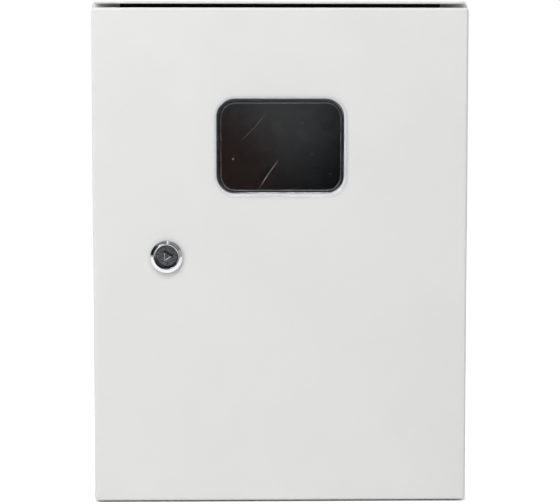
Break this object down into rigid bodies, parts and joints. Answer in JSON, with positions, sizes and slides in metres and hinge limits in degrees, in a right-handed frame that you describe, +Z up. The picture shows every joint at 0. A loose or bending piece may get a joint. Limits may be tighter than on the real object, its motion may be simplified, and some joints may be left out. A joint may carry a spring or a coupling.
{
  "type": "electric meter box",
  "caption": "Wall-mounted steel meter box with a rain hood, a hinged door with a clear window, and a cam lock; a plate, rail and bars inside.",
  "frame": {"origin": "centre of the back face, in the middle of the four wall holes", "axes": "+Z up, +Y into the wall, so the door faces -Y, and +X to the right as the door is looked at"},
  "size_m": [0.3, 0.1542, 0.4],
  "materials": {
    "case_paint": "light grey powder coat, fine matt texture",
    "door_paint": "light grey powder coat, smooth satin",
    "zinc_steel": "bright zinc plating",
    "pin_steel": "plain turned steel",
    "galvanised_sheet": "galvanised sheet, dull spangle",
    "yellow_zinc": "yellow passivated zinc plating",
    "copper_steel": "copper plated weld stud",
    "cast_zinc": "chromed die casting, satin",
    "chrome": "bright chrome",
    "brass": "extruded brass, satin",
    "black_rubber": "matt black rubber",
    "grey_rubber": "matt grey rubber",
    "gasket_foam": "closed-cell foam, poured in place",
    "clear_plastic": "clear moulded polycarbonate, lightly scratched",
    "blue_plastic": "blue moulded polyamide",
    "green_plastic": "green moulded polyamide"
  },
  "bodies": {
    "case": {"body_shell": "case_paint", "case_earth_nut": "zinc_steel", "case_earth_stud": "copper_steel", "case_earth_washer": "zinc_steel", "din_rail": "yellow_zinc", "earth_bar": "brass", "earth_feet": "green_plastic", "earth_fixing_screws": "zinc_steel", "earth_terminal_screws": "zinc_steel", "gland_nuts": "zinc_steel", "gland_plate": "case_paint", "gland_seal": "black_rubber", "gland_studs": "zinc_steel", "grommet_1": "grey_rubber", "grommet_2": "grey_rubber", "grommet_3": "grey_rubber", "hinge_leaf_lower": "zinc_steel", "hinge_leaf_upper": "zinc_steel", "hinge_nuts": "zinc_steel", "hinge_screws": "zinc_steel", "hood_seal": "black_rubber", "mounting_plate": "galvanised_sheet", "neutral_bar": "brass", "neutral_feet": "blue_plastic", "neutral_fixing_screws": "zinc_steel", "neutral_terminal_screws": "zinc_steel", "plate_nuts": "zinc_steel", "plate_studs": "zinc_steel", "plate_washers": "zinc_steel", "rail_nuts": "zinc_steel", "rail_screws": "zinc_steel"},
    "door": {"door_panel": "door_paint", "door_gasket": "gasket_foam", "window_pane": "clear_plastic", "lock_housing": "chrome", "lock_ring": "black_rubber", "lock_washer": "zinc_steel", "lock_nut": "zinc_steel", "hinge_bracket_lower": "door_paint", "hinge_bracket_upper": "door_paint", "hinge_pin_lower": "pin_steel", "hinge_pin_upper": "pin_steel", "door_earth_stud": "copper_steel", "door_earth_washer": "zinc_steel", "door_earth_nut": "zinc_steel"},
    "lock": {"lock_spindle": "cast_zinc", "lock_cam": "zinc_steel", "cam_washer": "zinc_steel", "cam_screw": "zinc_steel"}
  },
  "joints": [
    {"name": "door_hinge", "type": "hinge", "parent": "case", "child": "door", "pos_m": [0.144, -0.14, 0], "axis": [0, 0, 1], "range_deg": [0, 115]},
    {"name": "lock_turn", "type": "hinge", "parent": "door", "child": "lock", "pos_m": [-0.0905, -0.15, -0.0019], "axis": [0, 1, 0], "range_deg": [0, 90]}
  ]
}
